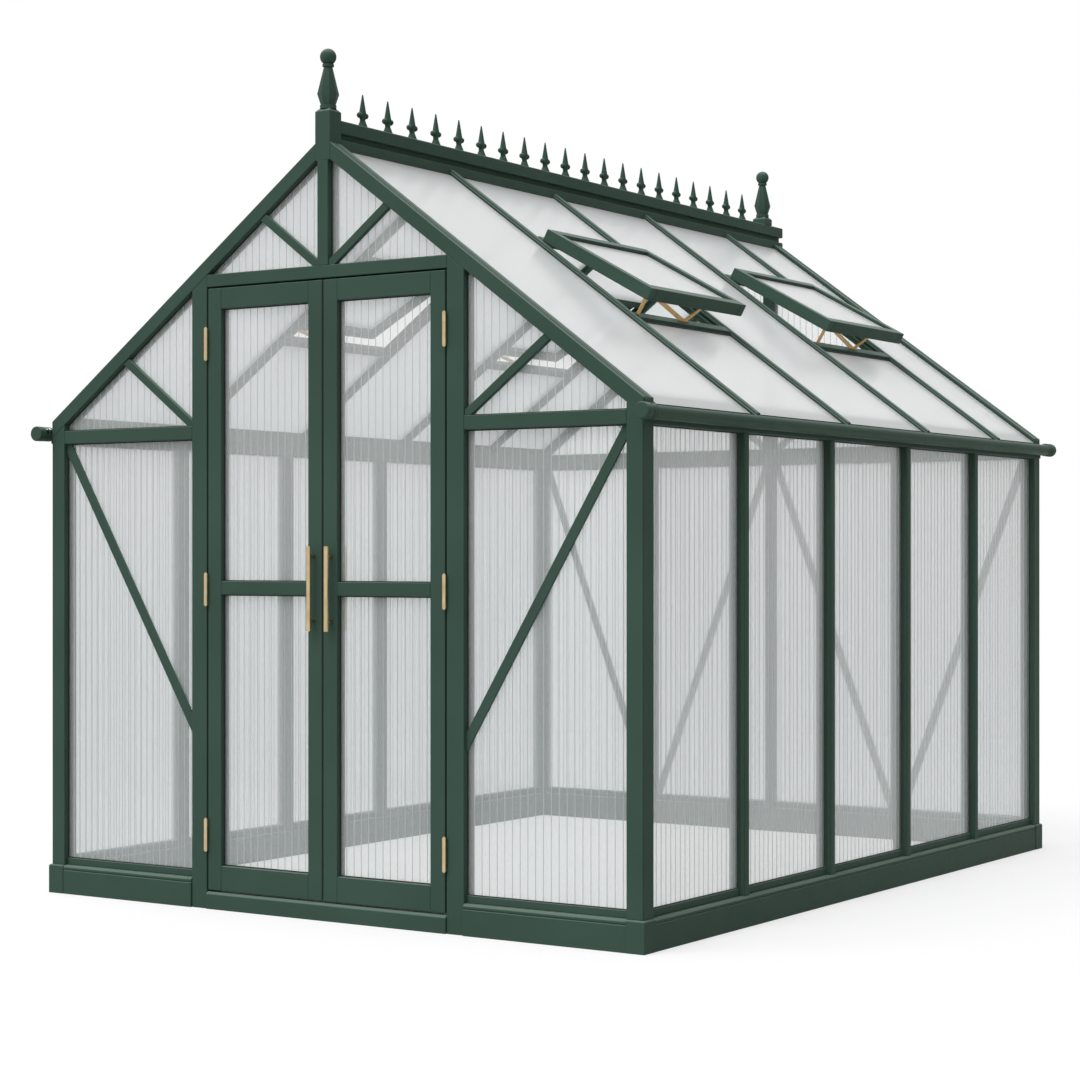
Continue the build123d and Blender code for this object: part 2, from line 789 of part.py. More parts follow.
# Roof vents: two cross rails in the roof, a sash hinged on the upper one, and its stays.
roof_lip_spans = bay_spans(roof_bar_places, inner_half_length, roof_lip_width / 2)
with BuildPart() as vent_curbs:
    with BuildSketch(right_roof.offset(-roof_sheet_back)):
        for bay in vent_bays:
            start, end = roof_lip_spans[bay]
            for edge in (vent_top, vent_foot):
                span_rectangle((edge - curb_width, edge), start, end)
    extrude(amount=roof_sheet_back)
    mirror(about=Plane.YZ)
keep(vent_curbs, "vent_curbs")

sash_pitch = radians(roof_pitch - vent_open_angle)
hinge_line = right_roof.from_local_coords(Vector(vent_top, 0, vent_seat_gap))
sash = Plane(
    origin=hinge_line,
    x_dir=(cos(sash_pitch), 0, -sin(sash_pitch)),
    z_dir=(sin(sash_pitch), 0, cos(sash_pitch)),
)
sash_half = (roof_bay - vent_side_gap) / 2
sash_inner = sash_half - vent_frame_width
vent_centres = [sum(roof_lip_spans[bay]) / 2 for bay in vent_bays]
with BuildPart() as vent_stiles:
    with BuildSketch(sash):
        for centre in vent_centres:
            for low, high in ((-sash_half, -sash_inner), (sash_inner, sash_half)):
                span_rectangle((0, vent_length), centre + low, centre + high)
    extrude(amount=vent_frame_depth)
    mirror(about=Plane.YZ)
keep(vent_stiles, "vent_stiles")

vent_rail_spans = [(0, vent_frame_width), (vent_length - vent_frame_width, vent_length)]
with BuildPart() as vent_rails:
    with BuildSketch(sash):
        for centre in vent_centres:
            for span in vent_rail_spans:
                span_rectangle(span, centre - sash_inner, centre + sash_inner)
    extrude(amount=vent_frame_depth)
    mirror(about=Plane.YZ)
keep(vent_rails, "vent_rails")

with BuildPart() as vent_panels:
    with BuildSketch(sash.offset(vent_frame_depth - vent_sheet_setback)):
        for centre in vent_centres:
            span = (vent_frame_width, vent_length - vent_frame_width)
            span_rectangle(span, centre - sash_inner, centre + sash_inner)
    extrude(amount=-sheet_thickness)
    mirror(about=Plane.YZ)
keep(vent_panels, "vent_panels")

side_stay_place = vent_frame_width / 2 - sash_half
with BuildPart() as vent_stays:
    for centre in vent_centres:
        curb_point = right_roof.from_local_coords(Vector(vent_foot - curb_width / 2, centre, 0))
        sash_point = sash.from_local_coords(Vector(vent_length - vent_frame_width / 2, centre, 0))
        rise = (sash_point - curb_point).length
        stay_plane = Plane(
            origin=curb_point,
            x_dir=(0, 1, 0),
            z_dir=Vector(0, 1, 0).cross(sash_point - curb_point),
        )
        with BuildSketch(stay_plane):
            for reach in (-stay_long_reach, stay_short_reach):
                half_cut = stay_width / 2 * Vector(reach, rise).length / rise
                Polygon(
                    (-half_cut, stay_seat_gap),
                    (half_cut, stay_seat_gap),
                    (reach + half_cut, rise - stay_seat_gap),
                    (reach - half_cut, rise - stay_seat_gap),
                    align=None,
                )
            with Locations((side_stay_place, rise / 2)):
                Rectangle(side_stay_width, rise - 2 * stay_seat_gap)
        extrude(amount=stay_thickness / 2, both=True)
    mirror(about=Plane.YZ)
keep(vent_stays, "vent_stays")

# Right-hand door leaf. The left one is its mirror image.
leaf_inner = leaf_gap / 2
leaf_outer = leaf_inner + leaf_width
leaf_back = frame_half_length - leaf_thickness
leaf_sheet_middle = -frame_half_length + leaf_sheet_setback + sheet_thickness / 2
stile_inner_edges = (leaf_inner + stile_width, leaf_outer - stile_width)
leaf_middle = (leaf_inner + leaf_outer) / 2
clear_width = leaf_width - 2 * stile_width
with BuildPart() as right_door_stiles:
    with BuildSketch(Plane.XY.offset(leaf_bottom)):
        for start in (leaf_inner, leaf_outer - stile_width):
            with Locations((start, -frame_half_length)):
                Rectangle(stile_width, leaf_thickness, align=Align.MIN)
        for edge in stile_inner_edges:
            with Locations((edge, leaf_sheet_middle)):
                Rectangle(2 * groove_depth, sheet_thickness, mode=Mode.SUBTRACT)
    extrude(amount=leaf_height)
keep(right_door_stiles, "right_door_stiles")
keep_mirrored(right_door_stiles, "left_door_stiles")

lock_rail_bottom = leaf_bottom + lock_rail_centre - lock_rail_height / 2
lock_rail_top = lock_rail_bottom + lock_rail_height
leaf_rails = [
    (leaf_bottom, leaf_bottom + bottom_rail_height),
    (lock_rail_bottom, lock_rail_top),
    (leaf_top - top_rail_height, leaf_top),
]
leaf_panes = [(leaf_rails[0][1], leaf_rails[1][0]), (leaf_rails[1][1], leaf_rails[2][0])]
with BuildPart() as right_door_rails:
    for low, high in leaf_rails:
        with BuildSketch(Plane.XY.offset(low)):
            with Locations((leaf_middle, -frame_half_length)):
                Rectangle(clear_width, leaf_thickness, align=(Align.CENTER, Align.MIN))
        extrude(amount=high - low)
    for low, high in leaf_panes:
        with BuildSketch(Plane.XY.offset(low - groove_depth)):
            with Locations((leaf_middle, leaf_sheet_middle)):
                Rectangle(clear_width, sheet_thickness)
        extrude(amount=high - low + 2 * groove_depth, mode=Mode.SUBTRACT)
keep(right_door_rails, "right_door_rails")
keep_mirrored(right_door_rails, "left_door_rails")

with BuildPart() as right_door_panels:
    for low, high in leaf_panes:
        with BuildSketch(Plane.XY.offset(low - sheet_bite)):
            with Locations((leaf_middle, leaf_sheet_middle)):
                Rectangle(clear_width + 2 * sheet_bite, sheet_thickness)
        extrude(amount=high - low + 2 * sheet_bite)
keep(right_door_panels, "right_door_panels")
keep_mirrored(right_door_panels, "left_door_panels")

# Pull handles: a round bar on two posts, outside and inside.
handle_x = leaf_inner + handle_edge_distance
handle_middle = (lock_rail_bottom + lock_rail_top) / 2
handle_bottom = handle_middle - handle_length / 2
handle_top = handle_bottom + handle_length
post_heights = (handle_bottom + handle_post_inset, handle_top - handle_post_inset)
bar_offset = handle_stand_off + handle_radius
handle_faces = [
    Plane(origin=(handle_x, -frame_half_length, 0), x_dir=(1, 0, 0), z_dir=(0, -1, 0)),
    Plane(origin=(handle_x, -leaf_back, 0), x_dir=(-1, 0, 0), z_dir=(0, 1, 0)),
]
with BuildPart() as right_door_handles:
    for face in handle_faces:
        bar_centre = face.from_local_coords(Vector(0, handle_bottom, bar_offset))
        with BuildSketch(Plane(origin=bar_centre)):
            Circle(handle_radius)
        extrude(amount=handle_length)
        with BuildSketch(face):
            with Locations(*[(0, height) for height in post_heights]):
                Circle(handle_post_radius)
        extrude(amount=bar_offset)
keep(right_door_handles, "right_door_handles")
keep_mirrored(right_door_handles, "left_door_handles")

# Butt hinges: the jamb half carries the outer knuckles and the pin, the leaf half the middle one.
axis_x = leaf_outer + leaf_gap / 2
axis_y = -frame_half_length - barrel_stand_off - barrel_radius
hinge_middles = (
    leaf_bottom + hinge_end_distance,
    leaf_bottom + leaf_height / 2,
    leaf_top - hinge_end_distance,
)
knuckle_length = hinge_length * knuckle_share
end_length = (hinge_length - knuckle_length) / 2 - knuckle_gap
plate_front = axis_y + barrel_radius + barrel_stand_off
with BuildPart() as jamb_hinges:
    for middle in hinge_middles:
        low = middle - hinge_length / 2
        for start in (low, low + hinge_length - end_length):
            with BuildSketch(Plane.XY.offset(start)):
                with Locations((axis_x, axis_y)):
                    Circle(barrel_radius)
                with Locations((opening_half, axis_y)):
                    Rectangle(
                        plate_thickness,
                        plate_front - axis_y,
                        align=(Align.MAX, Align.MIN),
                    )
            extrude(amount=end_length)
        with BuildSketch(Plane.XY.offset(low)):
            with Locations((opening_half, plate_front)):
                Rectangle(plate_thickness, plate_depth, align=(Align.MAX, Align.MIN))
        extrude(amount=hinge_length)
        with BuildSketch(Plane.XY.offset(low - pin_head_height)):
            with Locations((axis_x, axis_y)):
                Circle(pin_radius)
        extrude(amount=hinge_length + 2 * pin_head_height)
    mirror(about=Plane.YZ)
keep(jamb_hinges, "jamb_hinges")

with BuildPart() as right_door_hinges:
    for middle in hinge_middles:
        with BuildSketch(Plane.XY.offset(middle - hinge_length / 2)):
            with Locations((leaf_outer, plate_front)):
                Rectangle(plate_thickness, plate_depth, align=Align.MIN)
        extrude(amount=hinge_length)
        with BuildSketch(Plane.XY.offset(middle - knuckle_length / 2)):
            with Locations((axis_x, axis_y)):
                Circle(barrel_radius)
            with Locations((leaf_outer, axis_y)):
                Rectangle(plate_thickness, plate_front - axis_y, align=Align.MIN)
            with Locations((axis_x, axis_y)):
                Circle(pin_radius + pin_clearance, mode=Mode.SUBTRACT)
        extrude(amount=knuckle_length)
keep(right_door_hinges, "right_door_hinges")
keep_mirrored(right_door_hinges, "left_door_hinges")

os.makedirs("parts", exist_ok=True)
for part in parts:
    export_step(part, "parts/" + part.label + ".step")
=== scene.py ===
"""Looks of the greenhouse: painted frame, twin-wall sheets, brass fittings, light and camera."""

import json
import math

import bmesh
import bpy
import numpy as np
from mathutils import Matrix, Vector
from mathutils.geometry import convex_hull_2d


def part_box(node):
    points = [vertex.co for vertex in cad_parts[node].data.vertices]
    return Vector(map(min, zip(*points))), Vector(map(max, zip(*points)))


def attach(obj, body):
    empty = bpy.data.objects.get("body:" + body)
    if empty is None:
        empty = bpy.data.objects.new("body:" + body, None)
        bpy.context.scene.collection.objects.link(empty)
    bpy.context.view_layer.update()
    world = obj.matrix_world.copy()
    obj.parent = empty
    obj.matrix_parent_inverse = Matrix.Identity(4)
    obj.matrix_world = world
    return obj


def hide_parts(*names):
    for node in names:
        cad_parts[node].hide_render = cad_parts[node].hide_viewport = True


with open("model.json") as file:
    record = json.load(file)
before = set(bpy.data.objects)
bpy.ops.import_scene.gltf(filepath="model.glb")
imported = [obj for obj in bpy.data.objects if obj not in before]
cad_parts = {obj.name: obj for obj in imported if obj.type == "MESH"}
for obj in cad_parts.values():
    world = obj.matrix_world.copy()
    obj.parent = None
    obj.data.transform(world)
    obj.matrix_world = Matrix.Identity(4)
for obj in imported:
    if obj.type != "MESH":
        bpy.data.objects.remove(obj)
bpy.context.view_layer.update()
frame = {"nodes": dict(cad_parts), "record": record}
nodes = frame["nodes"]
SLOTS = {row["node"]: row["material_slot"] for row in frame["record"]["subparts"]}
MAIN_BODY = "greenhouse_frame"
DOORS = ("left_door", "right_door")
RIGHTWARD = Vector((1, 0, 0))
REARWARD = Vector((0, 1, 0))
UP = Vector((0, 0, 1))
SHED_CENTRE = Vector((0, 0, 1.2))

# Camera: level, looking at the front right corner.
CAMERA_PLACE = (4.8807, -7.6408, 1.1808)
CAMERA_YAW = 33.2
CAMERA_LENS = 79.87
CAMERA_SHIFT = (-0.0131, 0.0153)
CAMERA_FAR_CLIP = 200

# Light: a sky that is brightest above the front left, and a soft sun above the front.
SKY_BRIGHT_SIDE = (-0.40, -0.40, 0.80)
SKY_SPAN = (-0.5, 1)
SKY_LEVELS = (0.04, 1.19)
SUN_LEVEL = 1.57
SUN_SPREAD = 40
SUN_FROM = (-0.12, -0.51, 0.80)

# Bounces: enough clear ones for a ray to pass all the skins and ribs in its way.
CLEAR_BOUNCES = 48
LIGHT_BOUNCES = 4

# Floor: the share of its own light keeps it white, the rest takes the shadow.
FLOOR_SIZE = 160
FLOOR_STEPS = 8
FLOOR_WHITE = 0.86
FLOOR_MOTTLE = 0.02
FLOOR_ROUGHNESS = 0.9
FLOOR_BOUNCE = 0.35
FLOOR_LIGHT_SHARE = 0.60
FLOOR_FADE = (3.0, 7.0)

# Colours, each from its darker to its paler shade.
PAINT_GREEN = ((0.041, 0.077, 0.059), (0.050, 0.091, 0.070))
FITTING_BRASS = ((0.54, 0.42, 0.23), (0.64, 0.51, 0.30))
STAY_BRASS = ((0.46, 0.28, 0.10), (0.58, 0.38, 0.16))
# Wall and roof sheets are one plastic: the darker wall milk and the paler roof milk are painted
# shade and painted light.
WALL_SHADED_MILK = ((0.64, 0.68, 0.68), (0.74, 0.78, 0.78))
ROOF_LIT_MILK = ((0.94, 0.95, 0.96), (0.97, 0.98, 0.99))
# The rib roots are painted grey, darker than their clear plastic: painted shade for the
# refraction in the ribs.
RIB_REFRACTION_SHADE = ((0.40, 0.44, 0.44), (0.50, 0.54, 0.54))
RUBBER_BLACK = ((0.010, 0.011, 0.011), (0.020, 0.022, 0.022))
WHITE = (1, 1, 1)

# A finish goes from one shade to the other between these levels of its noise.
NOISE_SPAN = (0.3, 0.7)

# Painted highlight: paint is paler where it looks up, between these shares of the upward
# direction, as if lit from above.
PAINT_TOP_HIGHLIGHT = (0.130, 0.182, 0.154)
PAINT_HIGHLIGHT_SPAN = (0.20, 0.90)
PAINT_SHINE = 0.05

# Twin-wall sheets: a slab of skin, and the roots of the ribs under its outer face.
RIB_PITCH = 0.029
RIB_WIDTH = 0.0022
RIB_DEPTH = 0.0016
RIB_ALPHA = 0.56
RIB_ROUGHNESS = 0.35
SKIN = 0.0009
SKIN_ROUGHNESS = 0.22
SHEET_RIM = 0.002
WALL_ALPHA = 0.165
WALL_SPREAD = 0.14
ROOF_ALPHA = 0.58
ROOF_SPREAD = 0.30
ROOF_SHEETS = ("roof_panels", "vent_panels")

# Gloss of the sheets, and the heights between which they grow paler: painted light, brighter
# higher up.
SHEET_GLOSS = 0.10
SHEET_GLOSS_ROUGHNESS = 0.2
SHEET_TOP_LIGHT = (0.95, 0.96, 0.96)
SHEET_LIGHT_HEIGHTS = (0.4, 2.1)

# How far the frame laps over a sheet: at a bar more than elsewhere, and not at all over some.
SHEET_BITE = 0.006
BAR_COVER = 0.017
ROOF_BAR_COVER = 0.013
OPEN_SHEETS = ("gable_panels", "vent_panels")

# An upright side that is nearer than this to the middle of its wall or slope lies at a bar.
BAR_LIMITS = {"side_wall_panels": 1.45, "roof_panels": 1.45, "end_wall_panels": 1.1}

# Seals: a bead round every sheet and a blade on the meeting edge of each leaf.
BEAD_WIDTH = 0.0035
BEAD_HEIGHT = 0.0025
BLADE_REACH = 0.0026
BLADE_DEPTH = 0.006
BLADE_SETBACK = 0.002
BLADE_ROOT = 0.0005

# Gutter ends: a socket on the cap and two bands.
CAP_RISE = 0.002
SOCKET_LENGTH = 0.018
BAND_WIDTH = 0.006
BAND_GAPS = (0.030, 0.046)
BAND_RISE = 0.0015
TURN_STEPS = 32

# Edges of the frame.
WELD = 0.00002
EDGE_ROUND = 0.0024
FINE_EDGE_ROUND = 0.0005
EDGE_STEPS = 2
EDGE_ANGLE = math.radians(30)
FLAT_ANGLE = math.radians(0.4)


# Finishes.
def map_range(tree, value, span, levels=(0, 1), smooth=False):
    """A value taken from one span over to another."""
    node = tree.nodes.new("ShaderNodeMapRange")
    if smooth:
        node.interpolation_type = "SMOOTHSTEP"
    for name, number in zip(("From Min", "From Max", "To Min", "To Max"), (*span, *levels)):
        node.inputs[name].default_value = number
    tree.links.new(value, node.inputs["Value"])
    return node.outputs["Result"]


def direct_sight(tree):
    """One for rays from the camera, by way of gloss or glass too, and zero for lighting rays."""
    path = tree.nodes.new("ShaderNodeLightPath")
    total = path.outputs["Is Camera Ray"]
    for name in ("Is Glossy Ray", "Is Transmission Ray"):
        larger = tree.nodes.new("ShaderNodeMath")
        larger.operation = "MAXIMUM"
        tree.links.new(total, larger.inputs[0])
        tree.links.new(path.outputs[name], larger.inputs[1])
        total = larger.outputs["Value"]
    return total


class Finish:
    """A node material, and the few kinds of node that the finishes here are made of."""

    def __init__(self, name):
        self.material = bpy.data.materials.new(name)
        self.material.use_nodes = True
        self.tree = self.material.node_tree
        self.shader = self.tree.nodes["Principled BSDF"]
        self.place = self.add("ShaderNodeTexCoord").outputs["Object"]

    def add(self, kind):
        return self.tree.nodes.new(kind)

    def link(self, source, target):
        self.tree.links.new(source, target)

    def set(self, socket, value):
        self.shader.inputs[socket].default_value = value

    def show(self, shader):
        """Make another shader the surface."""
        self.link(shader, self.tree.nodes["Material Output"].inputs["Surface"])

    def noise(self, scale, stretch=(1, 1, 1), detail=3):
        mapping = self.add("ShaderNodeMapping")
        mapping.inputs["Scale"].default_value = stretch
        self.link(self.place, mapping.inputs["Vector"])
        noise = self.add("ShaderNodeTexNoise")
        noise.inputs["Scale"].default_value = scale
        noise.inputs["Detail"].default_value = detail
        self.link(mapping.outputs["Vector"], noise.inputs["Vector"])
        return noise.outputs["Fac"]

    def streaks(self, directions, scale):
        """Noise that changes only across the ribs of a sheet."""
        across = self.add("ShaderNodeVectorMath")
        across.operation = "DOT_PRODUCT"
        across.inputs[1].default_value = directions
        self.link(self.place, across.inputs[0])
        noise = self.add("ShaderNodeTexNoise")
        noise.noise_dimensions = "1D"
        noise.inputs["Scale"].default_value = scale
        noise.inputs["Detail"].default_value = 1
        self.link(across.outputs["Value"], noise.inputs["W"])
        return noise.outputs["Fac"]

    def colour(self, factor, shades):
        """Base colour that a noise varies between two shades."""
        ramp = self.add("ShaderNodeValToRGB")
        for stop, place, shade in zip(ramp.color_ramp.elements, NOISE_SPAN, shades):
            stop.position = place
            stop.color = (*shade, 1)
        self.link(factor, ramp.inputs["Fac"])
        self.link(ramp.outputs["Color"], self.shader.inputs["Base Color"])

    def paint_light_upward(self, vector, span, colour):
        """Painted light: turn the colour toward a lit one as the upward part of a vector grows.
        """
        socket = self.shader.inputs["Base Color"]
        parts = self.add("ShaderNodeSeparateXYZ")
        self.link(vector, parts.inputs["Vector"])
        share = map_range(self.tree, parts.outputs["Z"], span, smooth=True)
        painted_light = self.add("ShaderNodeMix")
        painted_light.data_type = "RGBA"
        self.link(share, painted_light.inputs["Factor"])
        self.link(socket.links[0].from_socket, painted_light.inputs["A"])
        painted_light.inputs["B"].default_value = (*colour, 1)
        self.link(painted_light.outputs["Result"], socket)

    def roughness(self, factor, low, high):
        level = map_range(self.tree, factor, NOISE_SPAN, (low, high))
        self.link(level, self.shader.inputs["Roughness"])

    def bump(self, height, strength, distance):
        bump = self.add("ShaderNodeBump")
        bump.inputs["Strength"].default_value = strength
        bump.inputs["Distance"].default_value = distance
        self.link(height, bump.inputs["Height"])
        self.link(bump.outputs["Normal"], self.shader.inputs["Normal"])

    def mix(self, factor, first, second):
        """Blend two shaders by a plain share or by a node."""
        mixed = self.add("ShaderNodeMixShader")
        if isinstance(factor, float):
            mixed.inputs["Fac"].default_value = factor
        else:
            self.link(factor, mixed.inputs["Fac"])
        self.link(first, mixed.inputs[1])
        self.link(second, mixed.inputs[2])
        return mixed.outputs["Shader"]


def paint_finish():
    """Satin powder coat in dark green, with a slight orange peel and a painted highlight on the
    tops.
    """
    finish = Finish("green_powder_coat")
    finish.colour(finish.noise(2.5, detail=4), PAINT_GREEN)
    facing = finish.add("ShaderNodeNewGeometry").outputs["Normal"]
    # Painted highlight: faces that look up turn toward a paler green.
    finish.paint_light_upward(facing, PAINT_HIGHLIGHT_SPAN, PAINT_TOP_HIGHLIGHT)
    finish.roughness(finish.noise(60), low=0.40, high=0.52)
    finish.bump(finish.noise(420, detail=1), strength=0.10, distance=0.0004)
    finish.set("Specular IOR Level", PAINT_SHINE)
    return finish.material


def brass_finish(name, shades):
    """Satin brass, brushed along the height."""
    finish = Finish(name)
    finish.colour(finish.noise(30), shades)
    brushed = finish.noise(90, stretch=(14, 14, 0.6))
    finish.roughness(brushed, low=0.28, high=0.42)
    finish.bump(brushed, strength=0.10, distance=0.0003)
    finish.set("Metallic", 1)
    return finish.material


def skin_finish(name, directions, alpha, spread, shades):
    """Skin of a twin-wall sheet: part clear, part milky, with faint streaks along its ribs."""
    finish = Finish(name)
    finish.colour(finish.streaks(directions, scale=60), shades)
    # Painted light: the skin grows paler higher up.
    finish.paint_light_upward(finish.place, SHEET_LIGHT_HEIGHTS, SHEET_TOP_LIGHT)
    finish.set("Roughness", SKIN_ROUGHNESS)
    finish.set("Specular IOR Level", 0)
    finish.set("Alpha", alpha)
    glow = finish.add("ShaderNodeBsdfTranslucent")
    glow.inputs["Color"].default_value = (*shades[1], 1)
    gloss = finish.add("ShaderNodeBsdfGlossy")
    gloss.inputs["Roughness"].default_value = SHEET_GLOSS_ROUGHNESS
    slant = finish.add("ShaderNodeLayerWeight")
    slant.inputs["Blend"].default_value = SHEET_GLOSS
    milky = finish.mix(spread, finish.shader.outputs["BSDF"], glow.outputs["BSDF"])
    finish.show(finish.mix(slant.outputs["Facing"], milky, gloss.outputs["BSDF"]))
    return finish.material


def rib_finish():
    """Root of a rib under the outer skin, seen as a fine grey line: painted shade of the
    refraction in the clear rib.
    """
    finish = Finish("sheet_rib")
    finish.colour(finish.streaks((1, 1, 0), scale=80), RIB_REFRACTION_SHADE)
    finish.set("Roughness", RIB_ROUGHNESS)
    finish.set("Alpha", RIB_ALPHA)
    return finish.material


def rubber_finish():
    """Matt black rubber of the seals."""
    finish = Finish("seal_rubber")
    finish.colour(finish.noise(80), RUBBER_BLACK)
    finish.roughness(finish.noise(120), low=0.65, high=0.85)
    finish.bump(finish.noise(600, detail=1), strength=0.2, distance=0.0003)
    return finish.material


def floor_finish():
    """Pale floor: near the building it takes a shadow, further off it is plain white."""
    finish = Finish("studio_floor")
    finish.set("Roughness", FLOOR_ROUGHNESS)
    finish.set("Specular IOR Level", 0)
    shades = [(white, white, white) for white in (FLOOR_WHITE, FLOOR_WHITE + FLOOR_MOTTLE)]
    finish.colour(finish.noise(0.4), shades)
    glow = finish.add("ShaderNodeEmission").outputs["Emission"]
    bounce = finish.add("ShaderNodeBsdfDiffuse")
    bounce.inputs["Color"].default_value = (FLOOR_BOUNCE, FLOOR_BOUNCE, FLOOR_BOUNCE, 1)
    distance = finish.add("ShaderNodeVectorMath")
    distance.operation = "LENGTH"
    finish.link(finish.place, distance.inputs[0])
    fade = map_range(finish.tree, distance.outputs["Value"], FLOOR_FADE, smooth=True)
    near = finish.mix(FLOOR_LIGHT_SHARE, finish.shader.outputs["BSDF"], glow)
    seen = finish.mix(fade, near, glow)
    finish.show(finish.mix(direct_sight(finish.tree), bounce.outputs["BSDF"], seen))
    return finish.material


paint = paint_finish()
brass = brass_finish("satin_brass", FITTING_BRASS)
stay_brass = brass_finish("golden_brass", STAY_BRASS)
rubber = rubber_finish()
rib = rib_finish()
# Lit and shaded copies of one sheet: the roof skin is painted paler than the wall skin.
wall_shaded_skin = skin_finish("wall_sheet_skin_painted_shade", (1, 1, 0), WALL_ALPHA, WALL_SPREAD, WALL_SHADED_MILK)
roof_lit_skin = skin_finish("roof_sheet_skin_painted_light", (0, 1, 0), ROOF_ALPHA, ROOF_SPREAD, ROOF_LIT_MILK)
FINISHES = {"frame_paint": paint, "brass": brass}
NODE_FINISHES = {"vent_stays": stay_brass}


# Objects made here.
def add_object(name, mesh, materials):
    """Turn a mesh into an object of the scene."""
    data = bpy.data.meshes.new(name)
    mesh.to_mesh(data)
    mesh.free()
    for material in materials:
        data.materials.append(material)
    made = bpy.data.objects.new(name, data)
    bpy.context.collection.objects.link(made)
    return made


def add_piece(name, mesh, materials, body=MAIN_BODY):
    """Turn a mesh into a piece that rides on a body."""
    piece = add_object(name, mesh, materials)
    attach(piece, body)
    return piece


def body_of_node(node):
    for body in DOORS:
        if node.startswith(body):
            return body
    return MAIN_BODY


# Frame and fittings keep their solids, with a finish, smooth curves and rounded edges.
def smooth_by_angle():
    """Node group that shades curved faces smooth and keeps the edges between flat ones sharp."""
    group = bpy.data.node_groups.new("smooth_by_angle", "GeometryNodeTree")
    group.interface.new_socket("Geometry", in_out="INPUT", socket_type="NodeSocketGeometry")
    group.interface.new_socket("Geometry", in_out="OUTPUT", socket_type="NodeSocketGeometry")
    start = group.nodes.new("NodeGroupInput")
    end = group.nodes.new("NodeGroupOutput")
    smooth = group.nodes.new("GeometryNodeSetShadeSmooth")
    angle = group.nodes.new("GeometryNodeInputMeshEdgeAngle")
    compare = group.nodes.new("FunctionNodeCompare")
    compare.operation = "GREATER_THAN"
    compare.inputs["B"].default_value = EDGE_ANGLE
    sharp = group.nodes.new("GeometryNodeSetShadeSmooth")
    sharp.domain = "EDGE"
    sharp.inputs["Shade Smooth"].default_value = False
    group.links.new(start.outputs["Geometry"], smooth.inputs["Geometry"])
    group.links.new(smooth.outputs["Geometry"], sharp.inputs["Geometry"])
    group.links.new(angle.outputs["Unsigned Angle"], compare.inputs["A"])
    group.links.new(compare.outputs["Result"], sharp.inputs["Selection"])
    group.links.new(sharp.outputs["Geometry"], end.inputs["Geometry"])
    return group


def dress_node(node, slot, group):
    """Give a solid its finish, and round its edges after joining its flat faces."""
    solid = nodes[node]
    for place in solid.material_slots:
        place.material = NODE_FINISHES.get(node, FINISHES[slot])
    weld = solid.modifiers.new("weld", "WELD")
    weld.merge_threshold = WELD
    flat = solid.modifiers.new("flat", "DECIMATE")
    flat.decimate_type = "DISSOLVE"
    flat.angle_limit = FLAT_ANGLE
    smooth = solid.modifiers.new("smooth", "NODES")
    smooth.node_group = group
    edge = solid.modifiers.new("edge", "BEVEL")
    edge.width = FINE_EDGE_ROUND if slot == "brass" else EDGE_ROUND
    edge.segments = EDGE_STEPS
    edge.limit_method = "ANGLE"
    edge.angle_limit = EDGE_ANGLE
    edge.harden_normals = True


smooth_group = smooth_by_angle()
for node, slot in SLOTS.items():
    if slot in FINISHES:
        dress_node(node, slot, smooth_group)


# Outlines and the closed shapes made from them.
def clip(outline, origin, inward):
    """The part of a convex outline that lies on the inward side of a line."""
    kept = []
    for start, end in zip(outline, outline[1:] + outline[:1]):
        before = (start - origin).dot(inward)
        after = (end - origin).dot(inward)
        if before >= 0:
            kept.append(start)
        if before * after < 0:
            kept.append(start.lerp(end, before / (before - after)))
    return kept


def inset(outline, covers):
    """A convex outline with each side moved inward by its own cover."""
    kept = outline
    for start, end, cover in zip(outline, outline[1:] + outline[:1], covers):
        run = (end - start).normalized()
        inward = Vector((-run.y, run.x))
        kept = clip(kept, start + inward * cover, inward)
    return kept


def raised(mesh, axes, outline, level):
    """Points of an outline at a level along the third axis."""
    across, along, normal = axes
    return [mesh.verts.new(across * p.x + along * p.y + normal * level) for p in outline]


def add_wall(mesh, lower, upper, index=0):
    """Band of faces between two rings of points."""
    for i in range(len(lower)):
        j = (i + 1) % len(lower)
        face = mesh.faces.new((lower[i], lower[j], upper[j], upper[i]))
        face.material_index = index


def add_prism(mesh, axes, outline, low, high, index=0):
    """Closed prism over an outline."""
    lower = raised(mesh, axes, outline, low)
    upper = raised(mesh, axes, outline, high)
    for ring in (list(reversed(lower)), upper):
        mesh.faces.new(ring).material_index = index
    add_wall(mesh, lower, upper, index)


def add_frame(mesh, axes, outer, inner, low, high):
    """Closed ring between two outlines."""
    outer_low, outer_high = [raised(mesh, axes, outer, level) for level in (low, high)]
    inner_low, inner_high = [raised(mesh, axes, inner, level) for level in (low, high)]
    add_wall(mesh, outer_low, outer_high)
    add_wall(mesh, outer_high, inner_high)
    add_wall(mesh, inner_high, inner_low)
    add_wall(mesh, inner_low, outer_low)


def add_lathe(mesh, profile, origin, axis):
    """Shape turned from a closed profile of radius and height."""
    side = axis.orthogonal().normalized()
    other = axis.cross(side)
    turns = [2 * math.pi * step / TURN_STEPS for step in range(TURN_STEPS)]
    spokes = [side * math.cos(turn) + other * math.sin(turn) for turn in turns]
    made = []
    for spoke in spokes:
        made.append([mesh.verts.new(origin + spoke * r + axis * h) for r, h in profile])
    for ring, following in zip(made, made[1:] + made[:1]):
        add_wall(mesh, following, ring)
    bmesh.ops.remove_doubles(mesh, verts=[vert for ring in made for vert in ring], dist=WELD)


